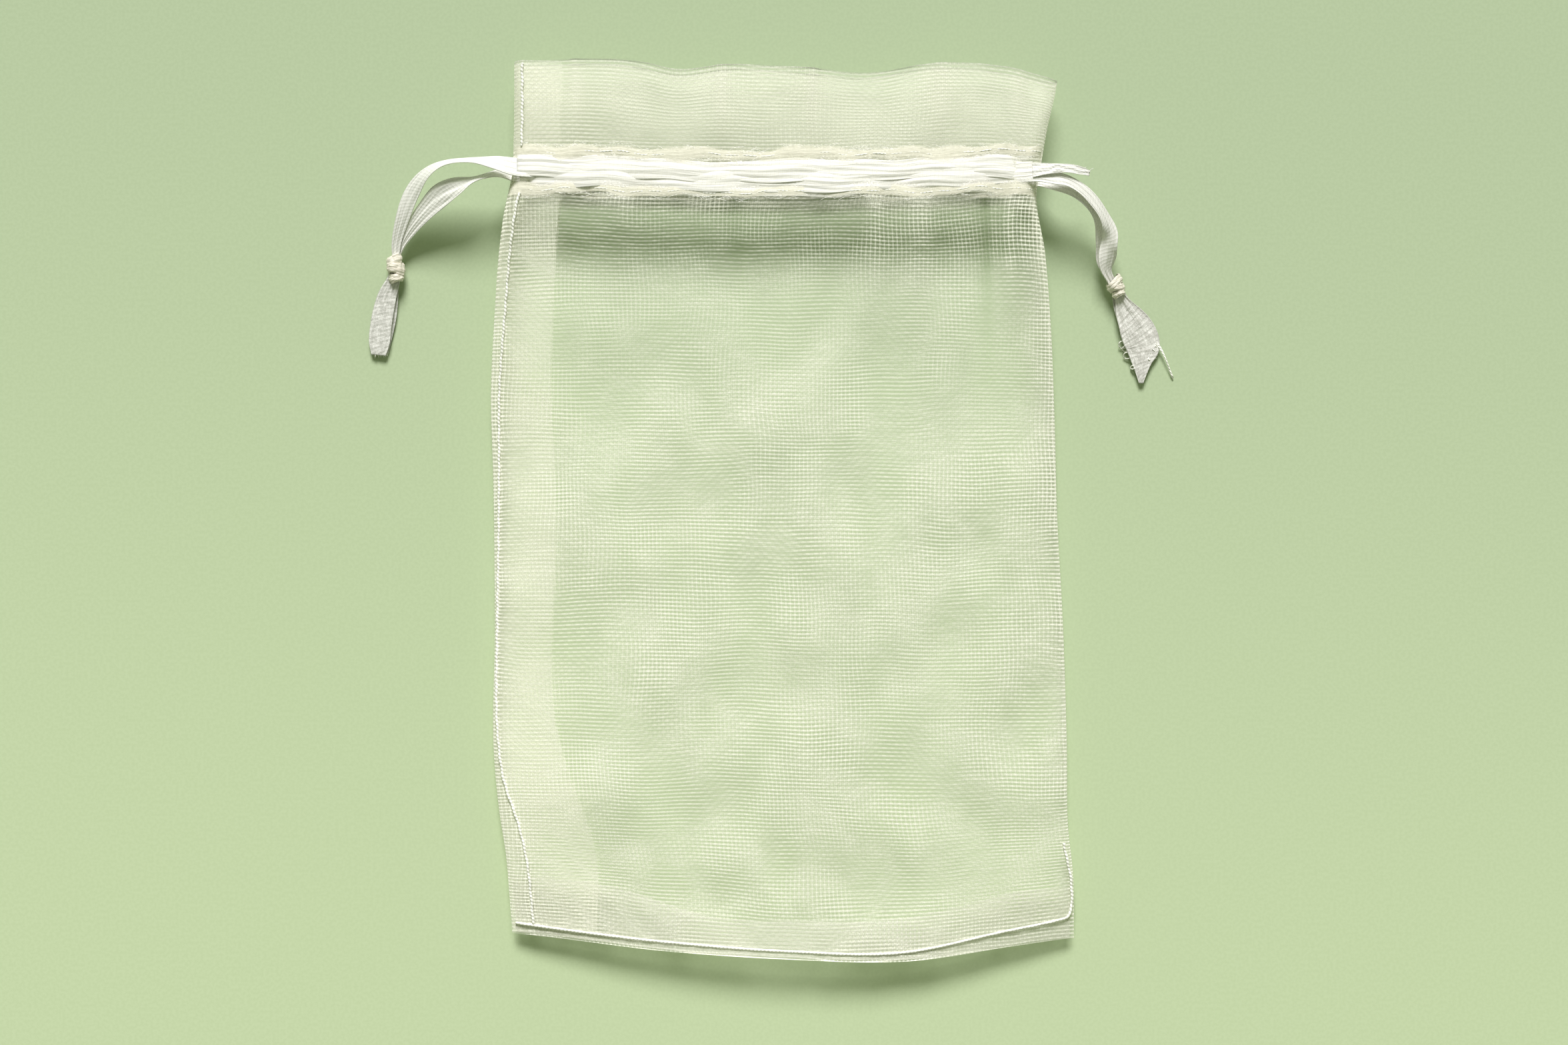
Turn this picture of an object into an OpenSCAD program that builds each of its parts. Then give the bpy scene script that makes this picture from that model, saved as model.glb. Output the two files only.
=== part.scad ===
// Drawstring gift pouch, lying on its back: sheer cloth, a two-lane casing, two looped ribbons.
// Millimetres. +X across the pouch, +Y towards its mouth, +Z up. The origin is on the surface
// that the pouch lies on, under the middle of the cloth.

/* [Pouch] */
// Width of the pouch below the shoulders
pouch_w = 95; // [75:1:125]
// Width across the casing and the header, a little drawn in
neck_w = 89; // [70:1:120]
// Length from the bottom edge to the top edge
pouch_l = 150; // [120:1:200]
// Length of the free header above the casing
header_l = 15.4; // [10:0.1:22]
// Distance from the casing down to where the drawn-in shoulders start
shoulder_l = 38; // [20:1:50]
// Thickness of one ply of cloth
ply = 0.3; // [0.2:0.05:0.5]

/* [Puffed cloth] */
// Clear height between the front and the back cloth below the shoulders
body_gap = 7.5; // [6:0.5:14]
// Clear height between the front and the back facings at the casing
mouth_gap = 6; // [5:0.5:12]
// Height of the back cloth above the surface at the casing
neck_lift = 1.2; // [1:0.1:3]
// Height of the back cloth above the surface at the bottom edge
hem_lift = 2.4; // [1:0.1:4]
// Gap between the two cloths at the bottom edge
hem_gap = 1.6; // [1.6:0.1:4]
// Length of the stretch where the back cloth rises to the bottom edge
hem_rise_l = 15; // [10:1:25]
// Length of the stretch where the front cloth closes down to the bottom edge
hem_close_l = 22; // [10:1:30]

/* [Seams] */
// Width of the seam allowance turned in along the left side
side_allowance = 9; // [5:0.5:14]
// Width of the seam allowance turned in along the bottom
bottom_allowance = 6.5; // [5:0.5:12]
// How far the seam lines run inside the cloth's edge
stitch_inset = 2.5; // [1.5:0.5:4]
// Height of the stitched return up the right fold
corner_return = 13; // [8:1:25]
// Pitch of the stitches
stitch_pitch = 3; // [2.8:0.1:5]
// Length of the thread that shows at each stitch
stitch_l = 2.3; // [1.2:0.1:2.6]
// Diameter of the sewing thread
thread_d = 0.35; // [0.2:0.05:0.6]

/* [Ribbons] */
// Flat width of each ribbon
ribbon_w = 6; // [4:0.5:8]
// Thickness of a ribbon folded in half along its length
folded_t = 0.4; // [0.3:0.1:0.7]
// Clearance beside each ribbon in the casing
lane_gap = 0.2; // [0.15:0.05:1]
// Clearance above and below each ribbon in the casing
ribbon_clear = 0.3; // [0.2:0.05:0.6]
// How far each ribbon's turn and its ends stand out of the casing
turn_out = 3; // [2:0.5:4]
// Diameter of the rolled ribbon between the casing and its cut end
strand_d = 1.6; // [1.2:0.1:1.6]
// Length of the knots that join each ribbon's two ends
knot_l = 4.8; // [4:0.1:7]
// Diameter of the knots
knot_d = 3.8; // [3.6:0.1:4.4]

/* [Hidden] */

organza = [0.93, 0.93, 0.86];
satin = [0.96, 0.95, 0.91];
cream_thread = [0.95, 0.92, 0.82];
far = 500;
seam_clear = 0.05;
allowance_t = 2 * ply;
header_slit = 3;
header_lining = 2 * ply;
gather_clear = 3;
gather_rise = 0.8;

// Along the pouch
top_y = pouch_l / 2;
bottom_y = -top_y;
folded_w = ribbon_w / 2;
casing_l = 2 * folded_w + 3 * lane_gap;
casing_top = top_y - header_l;
casing_bottom = casing_top - casing_l;
left_lane = casing_top - lane_gap - folded_w / 2;
right_lane = casing_bottom + lane_gap + folded_w / 2;
shoulder_y = casing_bottom - shoulder_l;

// Heights at the casing
casing_step = ply + ribbon_clear;
back_ribbon_z = neck_lift + casing_step;
back_facing_z = back_ribbon_z + folded_t + ribbon_clear;
front_facing_z = back_facing_z + ply + mouth_gap;
front_ribbon_z = front_facing_z + casing_step;
front_outer_z = front_ribbon_z + folded_t + ribbon_clear;

// Undersides of the two cloths, as [y, z]
back_under = [[bottom_y, hem_lift], [bottom_y + hem_rise_l, 0], [shoulder_y, 0],
    [casing_bottom, neck_lift], [casing_top, neck_lift], [top_y, neck_lift + 0.8]];
front_under = [[bottom_y, hem_lift + ply + hem_gap], [bottom_y + hem_close_l, ply + body_gap],
    [shoulder_y, ply + body_gap], [casing_bottom, front_outer_z],
    [casing_top, front_outer_z], [top_y, front_outer_z - 0.6]];

// Routes of the ribbons' free ends, from the casing through the knot to the cut end
left_front_route = [[-49.5, 58, 9.5], [-53, 58.5, 8.5], [-57, 58, 6], [-60.5, 55.5, 3.5],
    [-63.5, 51, 2], [-65.5, 46, 1.5], [-66, 41, 1.9], [-67, 36, 1.2], [-68, 31, 1],
    [-69, 26, 1]];
left_back_route = [[-49.5, 58, 2], [-52.5, 56, 2], [-56, 53, 1.8], [-59.5, 49.5, 1.6],
    [-62.5, 45.5, 1.5], [-64.2, 41, 1.9], [-65, 36, 1.2], [-66, 31, 1], [-67, 26, 1]];
right_front_route = [[49.5, 54.5, 9.5], [52, 53, 8.5], [54.5, 49.5, 5.5], [55.5, 45.5, 3],
    [55, 41.5, 2], [56.5, 37.5, 1.9], [57.5, 33, 1.2], [59, 27.5, 1], [60.5, 22, 1]];
right_back_route = [[49.5, 54.5, 2], [51, 52.5, 2], [52.5, 49, 1.8], [53, 45, 1.5],
    [52.8, 41.5, 1.5], [54.7, 37, 1.9], [55.5, 32.5, 1.2], [56.5, 27.5, 1], [58, 22.5, 1]];
left_knot_at = [-65.1, 41];
left_knot_heading = 10;
right_knot_at = [55.6, 37.3];
right_knot_heading = -12;

// Lists, widths and heights
function reversed(list) = [for (i = [len(list) - 1:-1:0]) list[i]];
function ascending(list) = len(list) < 2 ? list : concat(
    ascending([for (v = list) if (v < list[0]) v]),
    [list[0]],
    ascending([for (v = list) if (v > list[0]) v]));
function stations(table, y0, y1) =
    ascending(concat([y0, y1], [for (p = table) if (p[0] > y0 && p[0] < y1) p[0]]));
function half_width(y) =
    lookup(y, [[shoulder_y, pouch_w / 2], [casing_bottom, neck_w / 2]]);
half_width_bends = [[shoulder_y, 0], [casing_bottom, 0]];
thread_rise = thread_d / 2 + 2 * seam_clear;
function on_front(y) = lookup(y, front_under) + ply + thread_rise;

// A prism along X whose section in Y and Z lies between two lists of points
module across(lower, upper, x0 = -far, x1 = far)
    translate([x0, 0, 0])
        rotate([90, 0, 90])
            linear_extrude(x1 - x0)
                polygon(concat(lower, reversed(upper)));

// An upright prism between two distances in from the left or the right edge
module edge_strip(side, inner, outer, y0, y1) {
    ys = stations(half_width_bends, y0, y1);
    translate([0, 0, -far])
        linear_extrude(2 * far)
            polygon(concat([for (y = ys) [side * (half_width(y) - outer), y]],
                reversed([for (y = ys) [side * (half_width(y) - inner), y]])));
}

// One layer of cloth, raised above a table of undersides
module cloth(table, y0, y1, rise = 0, thick = ply) {
    ys = stations(table, y0, y1);
    plan_ys = stations(half_width_bends, y0, y1);
    intersection() {
        across([for (y = ys) [y, lookup(y, table) + rise]],
            [for (y = ys) [y, lookup(y, table) + rise + thick]]);
        translate([0, 0, -far])
            linear_extrude(2 * far)
                polygon(concat([for (y = plan_ys) [-half_width(y), y]],
                    reversed([for (y = plan_ys) [half_width(y), y]])));
    }
}

// The upright cloth along one side that joins the back to the front, between linings
module wall(side, y0, y1, lining = 0) {
    ys = stations(concat(back_under, front_under), y0, y1);
    intersection() {
        across([for (y = ys) [y, lookup(y, back_under) + ply + lining + seam_clear]],
            [for (y = ys) [y, lookup(y, front_under) - lining - seam_clear]]);
        edge_strip(side, 0, ply, y0, y1);
    }
}

// The left wall with the allowance that is turned in behind it
module turned_in_seam(y0, y1, lining = 0) {
    wall(-1, y0, y1, lining);
    intersection() {
        cloth(back_under, y0, y1, casing_step + lining, allowance_t);
        edge_strip(-1, 0, side_allowance, y0, y1);
    }
}

// A straight stitch between two points
module stitch(from, to) {
    run = to - from;
    translate(from)
        rotate([0, atan2(norm([run[0], run[1]]), run[2]), atan2(run[1], run[0])])
            cylinder(h = norm(run), d = thread_d, $fn = 16);
}

// A row of stitches across the casing or the bottom
module row_across(y, z, half)
    for (x = [-half:stitch_pitch:half - stitch_l])
        stitch([x, y, z], [x + stitch_l, y, z]);

// A row of stitches up one side, on the front cloth
module row_up(side, inset, y0, y1)
    for (y = [y0:stitch_pitch:y1 - stitch_l])
        stitch([side * (half_width(y) - inset), y, on_front(y)],
            [side * (half_width(y + stitch_l) - inset), y + stitch_l,
                on_front(y + stitch_l)]);

// Body cloth and bottom seam
module back_panel() color(organza) cloth(back_under, bottom_y, casing_bottom);
module front_panel() color(organza) cloth(front_under, bottom_y, casing_bottom);
module bottom_seam_allowance() color(organza) {
    left = side_allowance + gather_clear - pouch_w / 2;
    right = pouch_w / 2 - gather_clear;
    edge = bottom_y + ply;
    inner = bottom_y + bottom_allowance;
    across([for (y = [bottom_y, edge]) [y, lookup(y, back_under) + ply + seam_clear]],
        [for (y = [bottom_y, edge]) [y, lookup(y, front_under) - seam_clear]], left, right);
    across([for (y = [bottom_y, inner]) [y, lookup(y, back_under) + casing_step]],
        [for (y = [bottom_y, inner]) [y, lookup(y, back_under) + casing_step + allowance_t]],
        left, right);
}
module bottom_seam_stitches() color(cream_thread) {
    y = bottom_y + stitch_inset;
    row_across(y, on_front(y), pouch_w / 2 - stitch_inset);
}

// Casing and header
module back_casing_outer() color(organza)
    cloth(back_under, casing_bottom, casing_top);
module back_casing_facing() color(organza)
    cloth(back_under, casing_bottom, casing_top, back_facing_z - neck_lift);
module front_casing_outer() color(organza)
    cloth(front_under, casing_bottom, casing_top);
module front_casing_facing() color(organza)
    cloth(front_under, casing_bottom, casing_top, front_facing_z - front_outer_z);

// A header doubled by a fold along its top edge, its second ply towards the mouth
module header(table, towards) color(organza) {
    second = towards * header_lining;
    cloth(table, casing_top, top_y);
    cloth(table, casing_top, top_y, second);
    cloth(table, top_y - ply, top_y, min(second, 0), 3 * ply);
}
module back_header() header(back_under, 1);
module front_header() header(front_under, -1);

row_half = neck_w / 2 - stitch_inset;
front_row_z = front_outer_z + ply + thread_rise;
back_row_z = neck_lift - thread_rise;
upper_row_y = casing_top - thread_d / 2;
lower_row_y = casing_bottom + thread_d / 2;
module back_upper_stitches() color(cream_thread) row_across(upper_row_y, back_row_z, row_half);
module back_lower_stitches() color(cream_thread) row_across(lower_row_y, back_row_z, row_half);
module front_upper_stitches() color(cream_thread) row_across(upper_row_y, front_row_z, row_half);
module front_lower_stitches() color(cream_thread) row_across(lower_row_y, front_row_z, row_half);

// Left seam and right fold
seam_row_start = bottom_y + stitch_inset + 1;
side_top = casing_bottom - gather_rise;
module side_seam_allowance() color(organza) turned_in_seam(bottom_y, side_top);
module header_seam_allowance() color(organza)
    turned_in_seam(casing_top + header_slit, top_y, header_lining);
module side_seam_stitches() color(cream_thread)
    row_up(-1, stitch_inset, seam_row_start, casing_bottom);
module side_fold() color(organza) wall(1, bottom_y, side_top);
module header_fold() color(organza)
    wall(1, casing_top + header_slit, top_y, header_lining);
module corner_return_stitches() color(cream_thread)
    row_up(1, stitch_inset / 2, seam_row_start, seam_row_start + corner_return);

// A looped ribbon, which comes in at one side, turns beyond the other and goes back
module looped_ribbon(side, lane) color(satin) {
    outer_r = (front_ribbon_z - back_ribbon_z + folded_t) / 2;
    reach = neck_w / 2 + turn_out;
    turn_x = reach - outer_r;
    turn_z = back_ribbon_z + outer_r;
    translate([0, lane + folded_w / 2, 0])
        rotate([90, 0, 0])
            linear_extrude(folded_w)
                mirror([side > 0 ? 1 : 0, 0]) {
                    for (z = [back_ribbon_z, front_ribbon_z])
                        translate([-reach, z])
                            square([turn_x + reach, folded_t]);
                    translate([turn_x, turn_z])
                        intersection() {
                            difference() {
                                circle(r = outer_r, $fn = 64);
                                circle(r = outer_r - folded_t, $fn = 64);
                            }
                            translate([0, -far])
                                square([far, 2 * far]);
                        }
                }
}
module left_ribbon() looped_ribbon(-1, left_lane);
module right_ribbon() looped_ribbon(1, right_lane);

// A round strand swept along a route
sides = 8;
function unit(v) = v / norm(v);
function tangent(route, i) =
    unit(route[min(i + 1, len(route) - 1)] - route[max(i - 1, 0)]);
function ring(at, along) = let (u = unit(cross([0, 0, 1], along)), v = cross(along, u))
    [for (k = [0:sides - 1])
        at + strand_d / 2 * (cos(360 * k / sides) * u + sin(360 * k / sides) * v)];
module strand(route) color(satin) {
    last = len(route) - 1;
    points = [for (i = [0:last]) each ring(route[i], tangent(route, i))];
    skin = [for (i = [0:last - 1], k = [0:sides - 1]) let (
            next = (k + 1) % sides,
            a = i * sides,
            b = a + sides
        ) each [[a + k, b + k, b + next], [a + k, b + next, a + next]]];
    ends = [[for (k = [0:sides - 1]) k], [for (k = [sides - 1:-1:0]) last * sides + k]];
    polyhedron(points, concat(skin, ends));
}
module left_front_end() strand(left_front_route);
module left_back_end() strand(left_back_route);
module right_front_end() strand(right_front_route);
module right_back_end() strand(right_back_route);

// A knot lying on the surface, round-ended, its length along Y before it is turned
module knot(at, heading) color(satin) {
    straight = knot_l - knot_d;
    translate([at[0], at[1], knot_d / 2])
        rotate([90, 0, heading])
            rotate_extrude($fn = 48)
                intersection() {
                    union() {
                        translate([0, straight / 2]) circle(d = knot_d, $fn = 48);
                        translate([0, -straight / 2]) circle(d = knot_d, $fn = 48);
                        translate([0, -straight / 2]) square([knot_d / 2, straight]);
                    }
                    translate([0, -far]) square([far, 2 * far]);
                }
}
module left_knot() knot(left_knot_at, left_knot_heading);
module right_knot() knot(right_knot_at, right_knot_heading);

back_panel();
front_panel();
bottom_seam_allowance();
bottom_seam_stitches();
back_casing_outer();
back_casing_facing();
front_casing_outer();
front_casing_facing();
back_header();
front_header();
back_upper_stitches();
back_lower_stitches();
front_upper_stitches();
front_lower_stitches();
side_seam_allowance();
side_seam_stitches();
header_seam_allowance();
side_fold();
corner_return_stitches();
header_fold();
left_ribbon();
right_ribbon();
left_front_end();
left_back_end();
left_knot();
right_front_end();
right_back_end();
right_knot();
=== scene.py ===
"""Drawstring gift pouch: sheer organza, satin drawstrings, cream stitching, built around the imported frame.

Lengths are in millimetres until a mesh is made, in the frame's own axes: +X across the pouch,
+Y towards the mouth, +Z up. A cloth point is named by u, from -1 at the left edge to 1 at the
right edge, and by y along the pouch.
"""
import math
import random

import bpy
import numpy as np
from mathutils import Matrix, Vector


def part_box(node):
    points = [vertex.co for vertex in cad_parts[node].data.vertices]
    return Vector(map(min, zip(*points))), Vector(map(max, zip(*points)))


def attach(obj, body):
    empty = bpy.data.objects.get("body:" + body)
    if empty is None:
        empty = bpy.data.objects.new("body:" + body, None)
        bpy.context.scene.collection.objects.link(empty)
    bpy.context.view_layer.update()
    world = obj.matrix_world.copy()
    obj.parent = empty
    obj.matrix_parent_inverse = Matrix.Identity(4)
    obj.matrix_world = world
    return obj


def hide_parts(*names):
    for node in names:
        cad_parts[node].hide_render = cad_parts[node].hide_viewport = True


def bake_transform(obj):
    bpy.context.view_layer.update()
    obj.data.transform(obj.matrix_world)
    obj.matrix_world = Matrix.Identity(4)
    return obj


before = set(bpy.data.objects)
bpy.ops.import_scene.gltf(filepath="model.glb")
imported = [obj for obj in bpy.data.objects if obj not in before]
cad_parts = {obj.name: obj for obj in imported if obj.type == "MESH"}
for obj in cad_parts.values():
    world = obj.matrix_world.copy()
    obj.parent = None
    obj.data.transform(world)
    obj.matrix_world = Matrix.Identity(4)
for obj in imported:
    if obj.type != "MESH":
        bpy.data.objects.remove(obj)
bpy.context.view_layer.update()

MM = 0.001
bpy.context.scene.cycles.transparent_max_bounces = 48
bpy.context.scene.view_settings.view_transform = "Standard"

# -------- sizes from the frame
(_, BOTTOM, _), (_, CASING_BOTTOM, _) = [[c / MM for c in corner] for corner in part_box("front_panel")]
(_, CASING_TOP, _), (_, TOP, _) = [[c / MM for c in corner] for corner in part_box("front_header")]
CASING_L = CASING_TOP - CASING_BOTTOM
HEADER_L = TOP - CASING_TOP
RIBBON_HALF_T = 0.2
ribbon_low, ribbon_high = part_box("left_ribbon")
LANE_W = (ribbon_high[1] - ribbon_low[1]) / MM
BACK_RIBBON_Z = ribbon_low[2] / MM + RIBBON_HALF_T
FRONT_RIBBON_Z = ribbon_high[2] / MM - RIBBON_HALF_T

# X where the ribbons leave the casing, and the routes of their free ends, from inside it to the cut
EXIT_LEFT, EXIT_RIGHT = -44.9, 42.0
LEFT_FRONT = [
    (-41, 56.8, 9.6), (-44.5, 57.0, 9.6), (-48, 57.7, 9.8), (-52, 58.1, 9.6), (-56.3, 57.6, 8.8),
    (-59.5, 55.9, 7.4), (-61.9, 52.8, 5.6), (-63.6, 48.7, 4.2), (-64.7, 44.8, 3.0), (-64.9, 41, 2.2),
    (-65.4, 38.6, 1.7), (-66.6, 35.5, 1.3), (-67.5, 31, 1.1), (-67.9, 26.2, 0.9)]
LEFT_BACK = [
    (-41, 56.0, 2), (-44.5, 56.0, 4.6), (-47.5, 56.0, 7.4), (-50.3, 55.4, 8.0), (-53.3, 54.3, 7.9),
    (-56.7, 52.7, 6.8), (-59.8, 49.9, 5.2), (-62.5, 46.8, 3.5), (-64.3, 43.7, 2.3), (-65.1, 41, 1.5),
    (-65.5, 38.6, 1.1), (-66.0, 35.5, 0.8), (-66.7, 31, 0.6), (-67.3, 26.6, 0.4)]
RIGHT_FRONT = [
    (38, 56.0, 9.6), (42, 55.8, 9.6), (44.6, 55.2, 9.6), (47.3, 54.5, 9.3), (50.2, 52.6, 8.6),
    (52.7, 49.6, 7.6), (54.1, 46.4, 6.5), (53.9, 43.2, 5.1), (53.7, 40.6, 3.9), (54.6, 38.6, 2.9),
    (55.9, 36.6, 2.1), (57.2, 33.8, 1.6), (58.8, 31.0, 1.3), (60.0, 28.0, 1),
    (59.9, 25, 0.9), (59.8, 21.5, 0.8)]
RIGHT_BACK = [
    (38, 55.2, 2), (42, 55.2, 5.0), (45, 54.3, 6.8), (48.5, 52.9, 7.6), (51.5, 50.5, 7.0), (53.3, 47.4, 5.0),
    (53.6, 44.4, 3.7), (53.2, 41.5, 2.7), (54.4, 38.9, 2.2), (55.8, 36.7, 1.5), (56.9, 33.8, 1.0),
    (58.2, 31.0, 0.6), (59.1, 28.0, 0.4), (59.6, 25, 0.4)]


# -------- camera, floor and light
PICTURE_W, CLOTH_Z = 261.3, 4
SUN_DIRECTION = (0.04, -1.18, -1.0)


def add(name, data):
    item = bpy.data.objects.new(name, data)
    bpy.context.scene.collection.objects.link(item)
    return item


def make_camera():
    """Straight above the pouch, as far off as makes the picture's width PICTURE_W at the cloth."""
    data = bpy.data.cameras.new("camera")
    data.sensor_width, data.lens = 36, 85
    data.clip_start, data.clip_end = 0.01, 10
    camera = add("camera", data)
    camera.location = (0, -1.8 * MM, (PICTURE_W * data.lens / data.sensor_width + CLOTH_Z) * MM)
    bpy.context.scene.camera = camera


def light_the_scene():
    """A wide soft sun from above the picture, and an even, slightly green room."""
    data = bpy.data.lights.new("window", "SUN")
    data.energy, data.angle, data.color = 4.1, math.radians(22), (1.005, 0.985, 1.005)
    add("window", data).rotation_euler = Vector(SUN_DIRECTION).to_track_quat("-Z", "Y").to_euler()
    world = bpy.data.worlds.new("room")
    bpy.context.scene.world = world
    world.use_nodes = True
    background = world.node_tree.nodes["Background"]
    background.inputs["Color"].default_value = (0.92, 1.04, 0.69, 1)
    background.inputs["Strength"].default_value = 0.27


# -------- node helpers
class Nodes:
    """A material's node tree, written as expressions."""

    def __init__(self, name):
        self.material = bpy.data.materials.new(name)
        self.material.use_nodes = True
        self.tree = self.material.node_tree
        self.shader = self.tree.nodes["Principled BSDF"]

    def node(self, kind):
        return self.tree.nodes.new("ShaderNode" + kind)

    def plug(self, socket, value):
        if isinstance(value, bpy.types.NodeSocket):
            self.tree.links.new(value, socket)
        else:
            socket.default_value = value

    def fill(self, node, *values):
        """Plug values into a node's first sockets, and give its first output."""
        for socket, value in zip(node.inputs, values):
            self.plug(socket, value)
        return node.outputs[0]

    def math(self, operation, a, b=0.0, c=0.0, clamp=False):
        node = self.node("Math")
        node.operation, node.use_clamp = operation, clamp
        return self.fill(node, a, b, c)

    def times(self, a, b):
        return self.math("MULTIPLY", a, b)

    def plus(self, a, b):
        return self.math("ADD", a, b)

    def zigzag(self, value, pitch=1.0):
        """0 at every whole number of pitches and 0.5 halfway between."""
        return self.math("PINGPONG", self.math("DIVIDE", value, pitch) if pitch != 1.0 else value, 0.5)

    def split(self, vector):
        node = self.node("SeparateXYZ")
        self.plug(node.inputs[0], vector)
        return node.outputs[0], node.outputs[1]

    def uv(self):
        node = self.node("UVMap")
        node.uv_map = "weave"
        return self.split(node.outputs[0])

    def attribute(self, name):
        node = self.node("Attribute")
        node.attribute_name = name
        return node.outputs["Fac"]

    def noise(self, x, y, z=0.0, scale=1.0, detail=2.0, roughness=0.5):
        node = self.node("TexNoise")
        self.plug(node.inputs["Vector"], self.fill(self.node("CombineXYZ"), x, y, z))
        for name, value in (("Scale", scale), ("Detail", detail), ("Roughness", roughness)):
            node.inputs[name].default_value = value
        return node.outputs[0]

    def step(self, value, low, high, out_low=0.0, out_high=1.0):
        node = self.node("MapRange")
        node.interpolation_type = "SMOOTHSTEP"
        return self.fill(node, value, low, high, out_low, out_high)

    def mix(self, amount, first, second):
        node = self.node("Mix")
        node.data_type = "RGBA"
        self.plug(node.inputs[0], amount)
        for socket, colour in ((node.inputs[6], first), (node.inputs[7], second)):
            self.plug(socket, colour if isinstance(colour, bpy.types.NodeSocket) else (*colour, 1))
        return node.outputs[2]

    def bump(self, height, distance, strength):
        node = self.node("Bump")
        node.inputs["Strength"].default_value = strength
        node.inputs["Distance"].default_value = distance
        self.plug(node.inputs["Height"], height)
        self.plug(self.shader.inputs["Normal"], node.outputs[0])

    def set(self, **values):
        """Set the shader's sockets, named in lower case with underlines."""
        for name, value in values.items():
            self.plug(self.shader.inputs[name.replace("_", " ").title().replace("Ior", "IOR")], value)


# -------- materials
WEFT_PITCH, WARP_PITCH = 0.64, 0.7
RIB_PITCH, FLOAT_PITCH, CREASE_PITCH = 0.62, 0.48, 0.95
# lit and shaded copies of the thread colour, mixed as painted highlight and shade
THREAD_LIT, THREAD_SHADED = (0.96, 0.945, 0.84), (0.73, 0.76, 0.60)


def organza(name, layer, weft=0.38, warp=0.115, clear=0.11, tone=1.0):
    """Plain-weave organza: shiny threads across, finer ones along, and clear holes between; the colour paints
    a highlight on the threads across, strongest where they pass over, and shade on the rest.

    weft, warp and clear are how much the threads and the holes hide. Where the attribute "dense" is high
    everything hides more, and where "bare_in_shadow" is 1, in the casing's cast shadow, the holes hide
    nothing, which paints that shadow deeper.
    """
    n = Nodes(name)
    x, y = n.uv()
    drift_y, drift_x = (n.math("SUBTRACT", n.noise(x, y, layer * 7.3 + shift, scale=0.05, detail=1.5), 0.5)
                        for shift in (0, 40))
    across = n.math("DIVIDE", n.math("MULTIPLY_ADD", drift_x, 3.0, x), WARP_PITCH)
    along = n.math("DIVIDE", n.math("MULTIPLY_ADD", drift_y, 2.6, y), WEFT_PITCH)
    weft_thread = n.step(n.zigzag(along), 0.13, 0.42)
    warp_thread = n.step(n.zigzag(across), 0.25, 0.45)
    over = n.step(n.times(n.math("SINE", n.times(along, math.pi)), n.math("SINE", n.times(across, math.pi))),
                  -0.5, 0.5)
    slub = n.noise(n.times(x, 0.3), n.times(along, 0.8), layer * 3.1)
    patch = n.noise(x, y, layer * 5.0 + 11, scale=0.075)
    weft_cover = n.times(weft_thread, n.times(n.step(over, 0, 1, weft * 0.86, weft * 1.08),
                                              n.step(slub, 0.3, 0.7, 0.65, 1.3)))
    warp_cover = n.times(warp_thread, n.times(n.step(over, 0, 1, warp * 1.1, warp * 0.8),
                                              n.step(patch, 0.38, 0.62, 0.1, 2.5)))
    cover = n.plus(n.plus(weft_cover, warp_cover), n.step(n.attribute("bare_in_shadow"), 0, 1, clear, 0.0))
    cover = n.times(cover, n.step(patch, 0.3, 0.7, 0.85, 1.12))
    cover = n.math("MULTIPLY", cover, n.math("MULTIPLY_ADD", n.attribute("dense"), 1.5, 1.0), clamp=True)
    # painted highlight on the threads across, strongest where they pass over; painted shade on the finer
    # threads and where threads pass under
    thread_lit = n.times(n.step(weft_thread, 0, 1, 0.35, 1.0), n.step(over, 0, 1, 0.75, 1.0))
    n.set(base_color=n.mix(thread_lit, [c * tone for c in THREAD_SHADED], [c * tone for c in THREAD_LIT]),
          roughness=0.42, alpha=cover, specular_ior_level=0.5, sheen_weight=0.1, sheen_roughness=0.4)
    weft_height = n.times(weft_thread, n.step(over, 0, 1, 0.5, 1.0))
    n.bump(n.plus(weft_height, n.times(warp_thread, 0.4)), 0.08 * MM, 0.4)
    return n.material


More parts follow.
